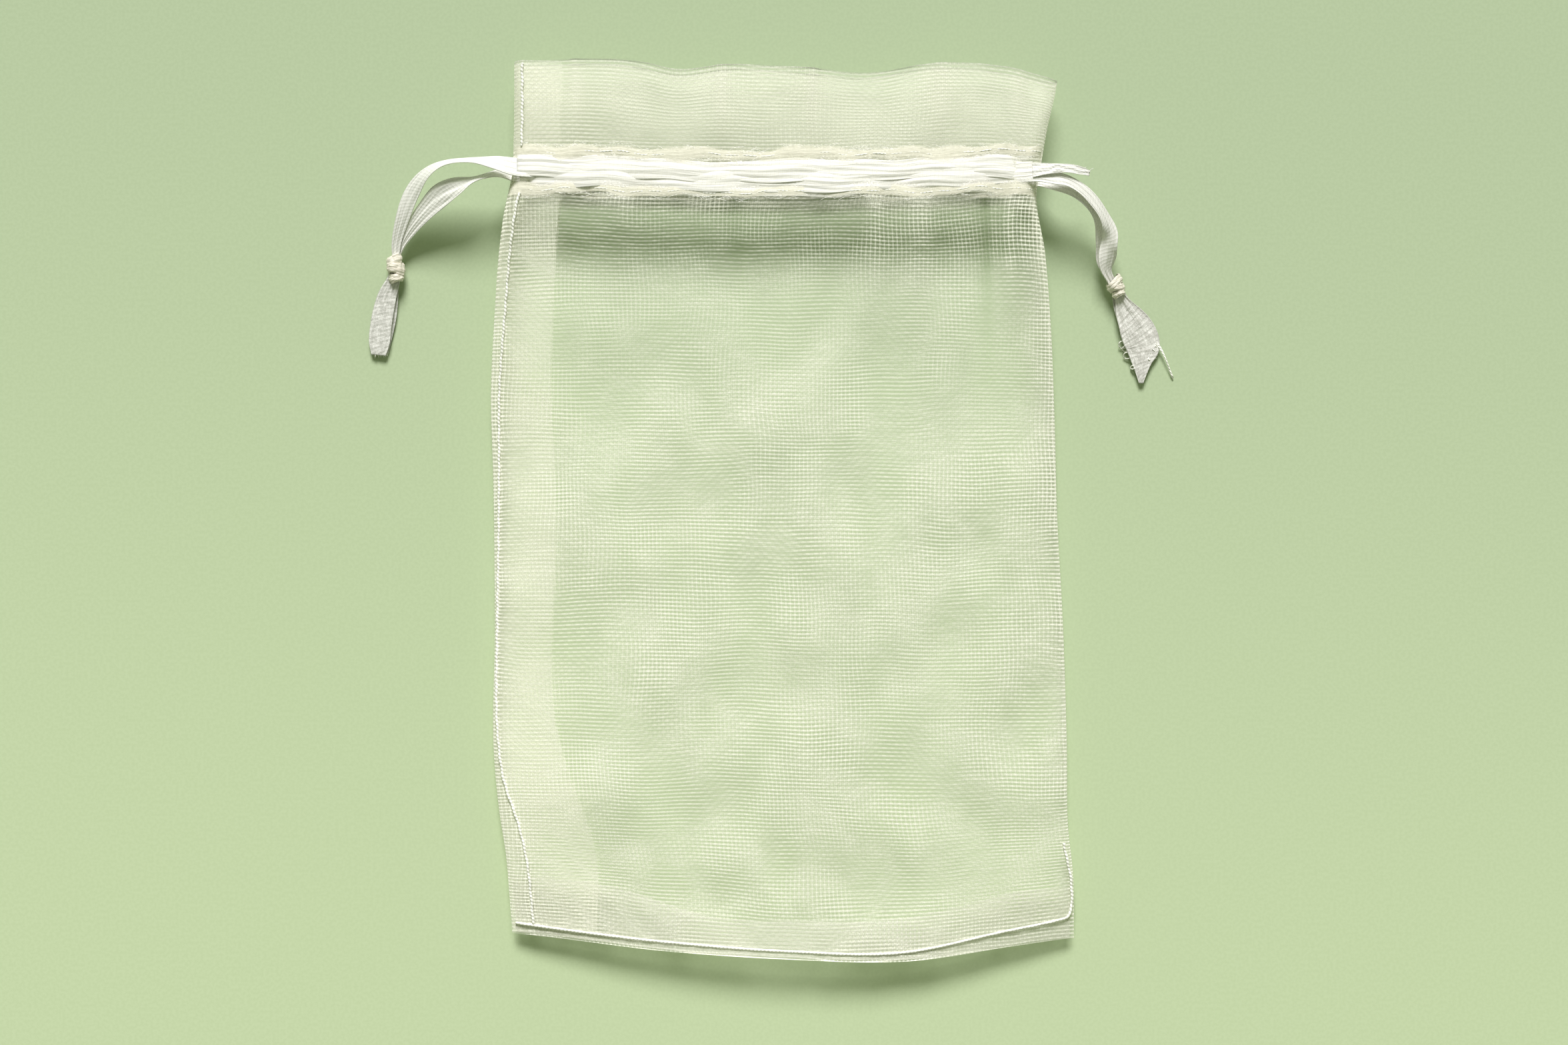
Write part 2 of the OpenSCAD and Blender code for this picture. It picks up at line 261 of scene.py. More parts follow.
def satin(name, dark, light, fibre=1.0, weave=0.0):
    """Satin ribbon: long floats along it, fine grooves between them, ribs across where it shows its weave.
    Its colour runs from light to dark with painted shade in the grooves and in broad soft folds.

    fibre is the grooves' depth, and weave how much of the weave shows. The attribute "worn_and_crease_shade"
    adds darker blotches and creases, with painted crease shade along the creases.
    """
    n = Nodes(name)
    along, across = n.uv()
    # painted shade: the colour darkens in the fine grooves between the floats and across broad soft folds
    fibres_and_groove_shade = n.noise(n.times(along, 0.20), n.times(across, 5.0), 2.0, detail=5, roughness=0.65)
    fold_waves_and_shade = n.noise(n.times(along, 0.16), n.times(across, 1.1), 9.0, detail=3)
    slant = n.math("MULTIPLY_ADD", across, 0.25, along)
    grid = n.times(n.step(n.zigzag(slant, RIB_PITCH), 0.02, 0.32),
                   n.step(n.zigzag(across, FLOAT_PITCH), 0.0, 0.25))
    speckle = n.noise(along, across, 4.0, scale=2.4, detail=3, roughness=0.7)
    shade = n.times(n.step(fibres_and_groove_shade, 0.28, 0.62, 0.4, 1.0), n.step(fold_waves_and_shade, 0.28, 0.58, 0.45, 1.0))
    shade = n.times(shade, n.step(grid, 0, 1, 1 - weave, 1.0))
    shade = n.times(shade, n.step(speckle, 0.3, 0.6, 1 - 0.7 * weave, 1.0))
    worn_and_crease_shade = n.attribute("worn_and_crease_shade")
    blotch = n.noise(along, across, 6.0, scale=0.85, detail=4, roughness=0.65)
    crease = n.math("MULTIPLY_ADD", across, 0.12, n.math("DIVIDE", along, CREASE_PITCH))
    # painted crease shade: the tail's colour darkens along crease lines across it, and in blotches
    crease_ribs_and_shade = n.step(n.zigzag(crease), 0.05, 0.4, 0.7, 1.0)
    wear_and_crease_shade = n.times(n.step(blotch, 0.38, 0.60, 0.15, 1.0), crease_ribs_and_shade)
    shade = n.times(shade, n.math("MULTIPLY_ADD", worn_and_crease_shade, n.math("SUBTRACT", wear_and_crease_shade, 1.0), 1.0))
    shadow = n.mix(worn_and_crease_shade, dark, [0.76 * c for c in dark])
    n.set(base_color=n.mix(shade, shadow, light), roughness=0.45,
          specular_ior_level=0.5, sheen_weight=0.12, sheen_roughness=0.35)
    grooves = n.plus(n.times(fibres_and_groove_shade, fibre), n.times(fold_waves_and_shade, 1.6))
    wrinkles = n.times(worn_and_crease_shade, n.plus(n.times(blotch, 3.0), crease_ribs_and_shade))
    n.bump(n.plus(grooves, n.plus(n.times(grid, weave), wrinkles)), 0.12 * MM, 0.6)
    return n.material


def cream_thread(name):
    """Twisted sewing thread."""
    n = Nodes(name)
    along, around = n.uv()
    ply = n.math("SINE", n.times(n.plus(n.times(along, 1.6), around), 2 * math.pi))
    tone = n.step(n.noise(along, around, 5.0, scale=0.8, detail=3), 0.3, 0.7)
    n.set(base_color=n.mix(tone, (0.90, 0.885, 0.80), (0.99, 0.985, 0.92)), roughness=0.6,
          sheen_weight=0.4, sheen_roughness=0.5)
    n.bump(ply, 0.06 * MM, 0.6)
    return n.material


def cream_fluff(name):
    """The soft ridge that the casing's rows of stitches pull up: cream fibre, thin at its edges."""
    n = Nodes(name)
    along, across = n.uv()
    tuft = n.noise(n.times(along, 1.1), n.times(across, 3.0), 3.0, detail=5, roughness=0.7)
    streak = n.noise(n.times(along, 0.25), n.times(across, 3.5), 8.0, detail=3)
    edge = n.math("POWER", n.math("ABSOLUTE", across), 2.2)
    cover = n.step(n.math("SUBTRACT", n.math("MULTIPLY_ADD", tuft, 0.9, 0.5), edge), 0.0, 0.9, 0.0, 0.9)
    tone = n.times(n.step(tuft, 0.3, 0.6, 0.45, 1.0), n.step(streak, 0.3, 0.55, 0.45, 1.0))
    n.set(base_color=n.mix(tone, (0.69, 0.665, 0.54), (0.84, 0.815, 0.69)), roughness=0.9, alpha=cover,
          specular_ior_level=0.2, sheen_weight=0.2, sheen_roughness=0.6)
    n.bump(n.plus(tuft, streak), 0.16 * MM, 0.5)
    return n.material


def painted_card(name):
    """The pale green surface under the pouch, with painted light falloff: lighter towards the foot of the
    picture, darker towards its top.
    """
    n = Nodes(name)
    ground = n.node("TexCoord").outputs["Object"]
    grain = n.node("TexNoise")
    n.plug(grain.inputs["Vector"], ground)
    grain.inputs["Scale"].default_value, grain.inputs["Detail"].default_value = 1900, 2
    x, y = n.split(ground)
    # painted light falloff: the card's colour grows lighter towards the foot of the picture
    near = n.step(n.plus(y, n.times(x, 0.12)), 0.10, -0.10)
    low = n.mix(near, (0.432, 0.520, 0.342), (0.510, 0.605, 0.378))
    high = n.mix(near, (0.452, 0.542, 0.360), (0.532, 0.628, 0.398))
    n.set(base_color=n.mix(n.step(grain.outputs[0], 0.35, 0.65), low, high), roughness=0.9,
          specular_ior_level=0.1)
    return n.material


# -------- geometry helpers
def curve(*points):
    """A smooth function through given points."""
    xs, ys = np.array(points, float).T
    slopes = np.gradient(ys, xs)

    def at(x):
        x = np.clip(x, xs[0], xs[-1])
        i = np.clip(np.searchsorted(xs, x) - 1, 0, len(xs) - 2)
        h = xs[i + 1] - xs[i]
        t = (x - xs[i]) / h
        return (ys[i] * (1 + 2 * t) * (1 - t) ** 2 + slopes[i] * h * t * (1 - t) ** 2
                + ys[i + 1] * t * t * (3 - 2 * t) + slopes[i + 1] * h * t * t * (t - 1))
    return at


def smooth(t):
    t = np.clip(t, 0, 1)
    return t * t * (3 - 2 * t)


def rounded(t):
    """0 at an edge and 1 a full radius in, as the side of an arc."""
    t = np.clip(t, 0, 1)
    return np.sqrt(1 - (1 - t) ** 2)


def xyz(x, y, z):
    return np.stack([x, y, z], -1)


def unit(vectors):
    return vectors / np.maximum(np.linalg.norm(vectors, axis=-1, keepdims=True), 1e-9)


def lengths_along(line):
    """The distance along a line of points at each of them."""
    return np.concatenate([[0], np.cumsum(np.linalg.norm(np.diff(line, axis=0), axis=1))])


def points_at(line, distance, at):
    return np.stack([np.interp(at, distance, line[:, k]) for k in range(3)], -1)


def near(offset, width):
    """1 where an offset is 0, fading to nothing over about twice the width."""
    return np.exp(-(offset / width) ** 2)


def new_piece(name, points, faces, uvs, material, slot="satin_ribbon", normals=None):
    """A mesh from points in millimetres, with one UV per point."""
    mesh = bpy.data.meshes.new(name)
    mesh.from_pydata((points * MM).tolist(), [], [tuple(f) for f in faces])
    layer = mesh.uv_layers.new(name="weave")
    corner = np.zeros(len(mesh.loops), np.int32)
    mesh.loops.foreach_get("vertex_index", corner)
    layer.data.foreach_set("uv", np.asarray(uvs, np.float32)[corner].ravel())
    mesh.polygons.foreach_set("use_smooth", [True] * len(mesh.polygons))
    mesh.materials.append(material)
    mesh.validate()
    mesh.update()
    if normals is not None:
        mesh.normals_split_custom_set_from_vertices(normals.tolist())
    piece = add(name, mesh)
    return piece


def mark(piece, label, values):
    """A number at each point of a piece, for its material."""
    data = piece.data.attributes.new(label, "FLOAT", "POINT").data
    data.foreach_set("value", values.ravel().astype(np.float32))


def joined(parts):
    """The points, faces and UVs of several meshes as those of one."""
    points, faces, uvs, offset = [], [], [], 0
    for part_points, part_faces, part_uvs in parts:
        points.append(part_points)
        faces.extend([i + offset for i in face] for face in part_faces)
        uvs.append(part_uvs)
        offset += len(part_points)
    return np.concatenate(points), faces, np.concatenate(uvs)


def grid_faces(rows, columns, wrap=False):
    """Quads over a grid of points stored row by row; wrap closes each row into a ring."""
    across = np.arange(columns if wrap else columns - 1)
    i, j = np.meshgrid(np.arange(rows - 1), across, indexing="ij")
    a = i * columns + j
    b = i * columns + (j + 1) % columns
    return np.stack([a, b, b + columns, a + columns], -1).reshape(-1, 4)


def grid_normals(points):
    along, across = np.gradient(points, axis=0), np.gradient(points, axis=1)
    return unit(np.cross(across, along))


def softened(normals):
    """Normals turned part of the way to vertical: light that comes through a weave evens its shading out."""
    return unit(normals + (0, 0, 0.9 * np.sign(normals[..., 2].mean())))


# -------- the pouch's shape
# Each is a function of y, but for bottom_rise, top_drop and casing_sway, which are of x.
left_edge = curve(
    (-75, -45.4), (-68, -45.9), (-60, -46.5), (-52, -47.5), (-41, -48.5), (-19, -48.4), (7, -48.7),
    (19, -49.0), (33, -48.3), (43, -47.5), (50, -46.5), (56, -45.2), (62, -44.9), (75, -44.8))
right_edge = curve(
    (-75, 48.5), (-63, 48.3), (-54, 47.5), (-39, 47.3), (-19, 46.7), (0, 45.7), (17, 45.2), (33, 44.4),
    (43, 43.5), (53, 42.0), (58, 42.8), (64, 43.7), (75, 45.4))
bottom_rise = curve((-48, 4.8), (-40, 4.1), (-20, 1.9), (0, 0.6), (21, 0.2), (39, 2.6), (48, 3.7))
top_drop = curve(
    (-45, 0.4), (-24, 0.7), (-18, 1.9), (-10, 1.1), (5, 1.8), (13, 2.5), (25, 0.9), (34, 1.2), (45, 3.5))
casing_sway = curve(
    (-48, 0.2), (-34, 0.1), (-18, -0.35), (-6, -0.5), (8, -0.2), (20, -0.35), (34, 0.2), (48, 0.1))
front_level = curve(
    (-75, 4.0), (-58, 5.6), (-42, 6.8), (-20, 7.5), (15, 7.6), (36, 8.5), (53, 9.5), (75, 9.8))
back_level = curve(
    (-75, 2.6), (-66, 0.9), (-57, 0.35), (15, 0.3), (36, 0.7), (53, 1.45), (60, 1.5), (75, 2.1))
edge_level = curve((-75, 2.0), (-58, 1.9), (20, 2.0), (40, 3.8), (53, 5.4), (75, 5.6))
seam_inset = curve(
    (-75, 3.7), (-66, 3.7), (-60, 3.5), (-53, 3.0), (-45, 1.5), (-38, 0.95), (0, 1.0), (19, 1.6), (40, 2.1),
    (53, 2.2))


def half_width(y):
    return (right_edge(y) - left_edge(y)) / 2


def place(u, y):
    """X and Y of a cloth point."""
    x = (left_edge(y) + right_edge(y)) / 2 + u * half_width(y)
    top = smooth((y - CASING_TOP) / HEADER_L)
    bottom = smooth((BOTTOM + 34 - y) / 34)
    casing = smooth((y - 35) / 18) * smooth((TOP - y) / 10)
    return x, y - top_drop(x) * top + bottom_rise(x) * bottom + casing_sway(x) * casing


def folds(x, y, phase):
    """Soft folds: gathers that fan down from the casing, broad diagonal ones, and the header's ruffle."""
    gather = smooth((y + 12) / 62) * (1 - 0.45 * smooth((y - CASING_BOTTOM + 2) / 5))
    fan = x * (1 - 0.0018 * (CASING_BOTTOM - y))
    pleats = (0.34 * np.sin(fan / 1.52 + 1.1 + phase + 0.5 * np.sin(y / 14))
              + 0.26 * np.sin(fan / 0.97 + 2.3 * phase + 0.4 * np.sin(y / 9 + 1))) * gather
    pleats = pleats * (0.55 + 0.45 * np.sin(x / 13 - 0.9 + phase))
    for at, wide, deep, long in (
            (-27, 2.2, 0.5, 20), (-8, 1.6, 0.45, 16), (15, 1.4, 0.7, 26), (22.5, 1.3, 0.9, 34),
            (33.5, 1.5, 1.0, 38), (38, 1.1, 0.7, 30)):
        line = at + 0.03 * (CASING_BOTTOM - y) * (1 if at > 20 else -1)
        reach = smooth((y - CASING_BOTTOM + long) / long)
        flattened = 1 - 0.6 * smooth((y - CASING_BOTTOM + 3) / 3)
        pleats = pleats + 1.4 * deep * near(x - line, wide) * reach * flattened
    broad = (0.42 * np.sin((x + 0.55 * y) / 8.2 + 0.7 + phase)
             + 0.30 * np.sin((x - 0.8 * y) / 6.1 + 2.0 * phase)
             + 0.16 * np.sin((0.6 * x + y) / 3.7 + 1.0 + phase))
    broad = broad * smooth((CASING_BOTTOM - y) / 20) * smooth((y - BOTTOM) / 14)
    ruffle = smooth((y - CASING_TOP) / HEADER_L)
    ruffles = ruffle * (0.6 * np.sin(x / 4.4 + 0.4 + phase) + 0.25 * np.sin(x / 1.9 + 1.7 * phase))
    for at, wide, deep in (
            (-34.6, 0.8, 0.5), (-22, 1.4, 0.5), (-10.4, 0.8, 0.8), (4.6, 0.7, 0.9), (26, 1.3, 0.8),
            (39, 1.0, 0.6)):
        ruffles = ruffles + ruffle * deep * near(x - at - phase, wide)
    return pleats, broad, ruffles


BACK_PHASE = 2.6  # sets the back's folds off against the front's
CLOTH_LEAST_Z = 0.15


def cloth_z(u, y, layer):
    """Height of a layer: 1 is the front, -1 the back, and values between lie inside the pouch."""
    x, _ = place(u, y)
    width = right_edge(y) - left_edge(y)
    from_left, from_right = (u + 1) / 2 * width, (1 - u) / 2 * width
    front = np.asarray(layer) > 0
    neck = smooth((y - 12) / 40)
    radius = np.where(front, 19 - 16.5 * neck, 9 - 4.5 * neck)
    sides = rounded(from_left / radius) * rounded(from_right / radius)
    bottom = rounded((y - BOTTOM) / np.where(front, 26, 12))
    level = np.where(front, front_level(y), back_level(y))
    bottom_edge = 1.5 + 4.4 * (1 - (x / 50) ** 2)
    middle = edge_level(y) + (bottom_edge - edge_level(y)) * smooth((BOTTOM + 20 - y) / 20)
    pleats, broad, ruffles = folds(x, y, np.where(front, 0.0, BACK_PHASE))
    ripple = np.where(front, pleats + broad + ruffles, 0.55 * pleats + 0.25 * np.abs(broad) + ruffles * 0.8)
    height = middle + (level - middle + ripple) * sides * bottom * np.abs(layer)
    return np.maximum(height, CLOTH_LEAST_Z)


def casing_bulge(y):
    """How far the casing's plies stand apart, from nothing at the rows of stitches."""
    return np.sqrt(np.clip(np.sin(math.pi * np.clip((y - CASING_BOTTOM) / CASING_L, 0, 1)), 0, 1))


def layer_points(u, y, layer, lift=0.0, puff=0.0):
    """Points of a layer, lifted, or puffed out over the casing."""
    x, along = place(u, y)
    z = cloth_z(u, y, layer) + lift + puff * casing_bulge(y) * rounded((1 - np.abs(u)) * 12)
    return xyz(x, along, z)


# -------- the cloth's thread density, and its sheets in halves
SIDE_NAME = {-1: "left", 1: "right"}


def follow_side(piece):
    """Bakes the piece's placement into its mesh."""
    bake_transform(piece)


def band_density(x, y):
    """Pleats below the casing and slanting bands where the two layers' threads close up or open out."""
    total = 0 * x
    for at, wide, gain, long in (
            (-27, 2.0, 0.2, 22), (-8, 1.5, -0.2, 18), (15, 1.2, 0.2, 26), (22.5, 2.2, 0.32, 36),
            (33.5, 1.8, -0.42, 36), (39, 1.4, 0.2, 30)):
        reach = smooth((y - CASING_BOTTOM + long) / long)
        total = total + gain * near(x - at, wide) * reach * (y < CASING_BOTTOM + 0.1)
    for at, wide, gain in (
            (-34.6, 0.9, 0.3), (-10.4, 0.9, 0.3), (4.6, 0.8, 0.35), (26, 1.3, 0.25), (39, 1.1, 0.25)):
        total = total + gain * near(x - at, wide) * smooth((y - CASING_TOP - 1) / 8)
    for x0, y0, run, rise, wide, gain in (
            (-3, 18, 27, 23, 3.0, 0.2), (-20, 22, 9, 12, 3.5, 0.16), (-5, -3, 40, -9, 3.0, 0.12),
            (-18, -40, 50, 14, 4.0, 0.12), (20, -22, 40, 16, 3.5, -0.10)):
        length = math.hypot(run, rise)
        along = ((x - x0) * run + (y - y0) * rise) / length
        off = ((x - x0) * rise - (y - y0) * run) / length
        total = total + gain * near(off, wide) * np.exp(-(2 * along / length) ** 4)
    return total


def mark_density(piece, points, normals):
    """Threads close up where the cloth stands steep, in the bands, and along the side seam. In the band where
    the casing's shadow falls, the back's threads are thinned and its holes bared, and the front's close up a
    little, which paints that cast shadow deeper."""
    x, y = points[..., 0], points[..., 1]
    steep = np.clip(1 / np.maximum(np.abs(normals[..., 2]), 0.35) - 1, 0, 1)
    # the band where the casing's cast shadow falls; thinning the back there paints that shadow deeper
    shaded = smooth((y - 38) / 7) * smooth((51.6 - y) / 2.6) * smooth((x + 40) / 5) * smooth((44 - x) / 5)
    open_up = 0.42 * shaded if piece.name.startswith("back") else -0.10 * shaded
    open_up = open_up + 0.20 * smooth((y - 8) / 20) * (y < CASING_BOTTOM)
    if "header" in piece.name:
        steep = 0.3 * steep
    if piece.name.startswith("front_body"):
        steep = steep + 0.55 * near(x - left_edge(y) - seam_inset(y), 0.75)
    mark(piece, "dense", steep + band_density(x, y) - open_up)
    mark(piece, "bare_in_shadow", shaded)


def in_halves(name, points, uvs, shading, normals, material, nodes, shadow=True, right_nodes=()):
    """One sheet in two halves that meet along the middle.

    shading is what the light sees, and normals is how the cloth really stands.
    """
    middle = len(US) // 2
    for side, columns in ((-1, slice(0, middle + 1)), (1, slice(middle, None))):
        half = points[:, columns]
        piece = new_piece(f"{name}_{SIDE_NAME[side]}", half.reshape(-1, 3), grid_faces(*half.shape[:2]),
                          uvs[:, columns].reshape(-1, 2), material, "organza",
                          shading[:, columns].reshape(-1, 3))
        mark_density(piece, half, normals[:, columns])
        piece.visible_shadow = shadow
        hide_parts(*nodes, *(right_nodes if side > 0 else ()))
        follow_side(piece)


def lay_sheet(name, ys, layer, material, nodes, puff=0.0, weave_shift=0.0, shadow=True, right_nodes=()):
    """A single ply of the front (layer 1) or the back (-1)."""
    grid_u, grid_y = np.meshgrid(US, ys)
    points = layer_points(grid_u, grid_y, layer, puff=puff)
    normals = grid_normals(points)
    uvs = np.stack([grid_u * half_width(grid_y), grid_y + weave_shift], -1)
    in_halves(name, points, uvs, softened(normals), normals, material, nodes, shadow,
              right_nodes)


def double_header(name, layer, gap, material, right_nodes=()):
    """The header's ply on one side of the mouth: up its outer face, over the fold and down the inner one."""
    ys = np.linspace(CASING_TOP, TOP, 30)
    last = len(ys) - 1
    grid_u, row = np.meshgrid(US, np.arange(2 * last + 1))
    down = row > last
    y = np.interp(np.where(down, 2 * last - row, row), np.arange(last + 1), ys)
    points = layer_points(grid_u, y, layer)
    points[..., 2] += np.where(down, gap, 0) * rounded((TOP - y) / 1.2)
    outer = softened(grid_normals(points[:last + 1]))
    outer[-3:] = outer[-4]
    shading = np.concatenate([outer, -outer[-2::-1]])
    uvs = np.stack([points[..., 0], CASING_TOP + row * 2 * HEADER_L / (2 * last)], -1)
    in_halves(name, points, uvs, shading, shading, material, [name],
              right_nodes=right_nodes)


BUNCHING = 0.8
even_us = np.linspace(-1, 1, 141)
US = (1 - BUNCHING) * even_us + BUNCHING * np.sin(even_us * math.pi / 2)  # closer together towards both edges
BODY_YS = np.concatenate([BOTTOM + 26 * (1 - np.cos(np.linspace(0, math.pi / 2, 26)[:-1])),
                          np.linspace(BOTTOM + 26, CASING_BOTTOM, 104)])


def make_cloth(front_cloth, back_cloth, header_cloth, casing_cloth):
    """The front and the back, each from the foot up over the casing to the header."""
    lay_sheet("front_body", BODY_YS, 1, front_cloth, ["front_panel"], right_nodes=["side_fold"])
    lay_sheet("back_body", BODY_YS, -1, back_cloth, ["back_panel"], weave_shift=0.21, shadow=False)
    casing_ys = np.linspace(CASING_BOTTOM, CASING_TOP, 19)
    for name, layer, puff, cloth in (
            ("front_casing_outer", 1, 0.62, casing_cloth), ("front_casing_facing", 1, -0.55, back_cloth),
            ("back_casing_facing", -1, 0.6, front_cloth), ("back_casing_outer", -1, -0.55, back_cloth)):
        lay_sheet(name, casing_ys, layer, cloth, [name], puff, shadow=name != "front_casing_outer")
    double_header("front_header", 1, -0.5, header_cloth, ["header_fold"])
    double_header("back_header", -1, 0.5, header_cloth)


def strip(name, us, ys, layers, material, node):
    """The plies of a seam allowance as one piece. layers: a layer and a lift for each."""
    grid_u, grid_y = np.broadcast_arrays(us, ys)
    plies = []
    for number, (layer, lift) in enumerate(layers, 1):
        points = layer_points(grid_u, grid_y, layer, lift)
        plies.append((points.reshape(-1, 3), grid_faces(*points.shape[:2]),
                      points[..., :2].reshape(-1, 2) + (0, 0.3 * number)))
    piece = new_piece(name + "_plies", *joined(plies), material, "organza")
    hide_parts(node)
    follow_side(piece)
    return piece


def make_allowances(cloth, hem_cloth):
    """The cloth turned in along the left seam and along the bottom."""
    inner_edge = curve((-75, 14.0), (-56, 14.8), (-48, 13.2), (-36, 10.4), (0, 10.2), (42, 9.3), (50, 9.0),
                       (60, 7.6), (75, 7.8))
    for name, part, low, high, rows in (
            ("side_seam_allowance", "body", BOTTOM + 0.4, CASING_BOTTOM, 130),
            ("header_seam_allowance", "header", CASING_TOP, TOP - 0.3, 22)):
        ys = np.linspace(low, high, rows)[:, None]
        ins = np.linspace(0, 1, 22)[None, :] ** 1.4 * inner_edge(ys) + 0.25
        piece = strip(name, -1 + ins / half_width(ys), ys, ((0.72, 0), (-0.45, 0.1)), cloth, name)
        piece.visible_shadow = False
    band = curve((-1, 10.5), (-0.62, 9.8), (-0.3, 6.2), (0, 6.0), (0.42, 6.9), (0.62, 7.9), (0.78, 9.0),
                 (1, 8.9))
    for side in (-1, 1):
        us = (side * np.linspace(0, 0.985, 50))[None, ::side]
        ys = BOTTOM + 0.3 + np.linspace(0, 1, 14)[:, None] ** 1.4 * band(us)
        strip(f"bottom_seam_allowance_{SIDE_NAME[side]}", us, ys, ((0.7, 0), (-0.4, 0.1)), hem_cloth,
              "bottom_seam_allowance")


# -------- threads
STITCH_PITCH, STITCH_L, THREAD_R = 3.0, 3.12, 0.235


def tube_along(points, radius, sides, uv_start, taper):
    """Points, faces and UVs of a closed tube along a line. radius is a number, or one for each point."""
    tangents = unit(np.gradient(points, axis=0))
    up = np.where(np.abs(tangents[:, 2:3]) > 0.9, (1.0, 0, 0), (0, 0, 1.0))
    side = unit(np.cross(up, tangents))
    normal = np.cross(tangents, side)
    count = len(points)
    scale = np.ones(count)
    if taper:
        t = np.linspace(0, 1, count)
        scale = np.clip(1.05 * rounded(np.minimum(t, 1 - t) * 6 + 0.08), 0, 1)
    angles = np.linspace(0, 2 * math.pi, sides, endpoint=False)
    ring = np.cos(angles)[None, :, None] * side[:, None] + np.sin(angles)[None, :, None] * normal[:, None]
    skin = points[:, None] + ring * (radius * scale)[:, None, None]
    ends = [list(range(sides))[::-1], [(count - 1) * sides + k for k in range(sides)]]
    faces = grid_faces(count, sides, wrap=True).tolist() + ends
    uvs = np.stack([np.repeat(lengths_along(points) + uv_start, sides),
                    np.tile(angles / (2 * math.pi), count)], -1)
    return skin.reshape(-1, 3), faces, uvs


def tubes_piece(name, lines, radius, material, slot="satin_ribbon", sides=6, taper=True):
    """Many threads as one piece."""
    tubes = [tube_along(line, radius, sides, k * 1.7, taper) for k, line in enumerate(lines)]
    return new_piece(name, *joined(tubes), material, slot)


def stitch_lines(path, dip, seed):
    """Short arcs along a line of points, one for each stitch, that dip into the cloth at their ends."""
    rng = random.Random(seed)
    distance = lengths_along(path)
    stitches = []
    start = 0.0
    while start + STITCH_L < distance[-1]:
        size = STITCH_L * rng.uniform(0.92, 1.06)
        arc = points_at(path, distance, start + np.linspace(0, size, 7))
        arc[:, 2] -= dip * (np.linspace(-1, 1, 7) ** 6)
        arc[:, 1] += rng.uniform(-0.05, 0.05)
        stitches.append(arc)
        start += STITCH_PITCH * rng.uniform(0.96, 1.04)
    return stitches


def seam_piece(name, us, ys, material):
    """A row of tight stitches on the front that reads as one thread, pinched where each stitch ends."""
    line = layer_points(us, ys, 1, THREAD_R)
    distance = lengths_along(line)
    pinch = np.abs(np.sin(math.pi * distance / STITCH_PITCH)) ** 0.5
    line = line + xyz(0.05 * np.sin(distance * 1.9), 0 * distance, 0.05 * pinch)
    return tubes_piece(name, [line], THREAD_R * (0.82 + 0.24 * pinch), material, "seam_thread", taper=False)


def make_seam_stitches(thread):
    """The side seam, the bottom seam, and its return up the right fold."""
    ys = np.linspace(BOTTOM + 1.6, CASING_BOTTOM - 0.4, 420)
    side = seam_piece("side_seam_threads", -1 + seam_inset(ys) / half_width(ys), ys, thread)
    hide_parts("side_seam_stitches")
    follow_side(side)
    ys = np.linspace(CASING_TOP + 0.6, TOP - 0.5, 60)
    follow_side(seam_piece("header_seam_threads", -1 + 1.6 / half_width(ys), ys, thread))
    rise = curve((-1, 1.9), (-0.9, 1.7), (-0.4, 1.5), (0, 1.3), (0.35, 1.4), (0.7, 2.6), (0.93, 3.4),
                 (1, 3.8))
    turn_u = 0.965
    for side, us in ((-1, np.linspace(-0.985, 0, 210)), (1, np.linspace(0, turn_u, 200))):
        piece = seam_piece(f"bottom_seam_threads_{SIDE_NAME[side]}", us, BOTTOM + rise(us), thread)
        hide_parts("bottom_seam_stitches")
        follow_side(piece)
    turn = np.linspace(0, 1, 120)
    us = turn_u + 0.027 * rounded(turn * 5) - 0.014 * smooth((turn - 0.35) / 0.65)
    piece = seam_piece("corner_return_threads", us, BOTTOM + rise(turn_u) + 14.5 * turn, thread)
    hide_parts("corner_return_stitches")
    follow_side(piece)


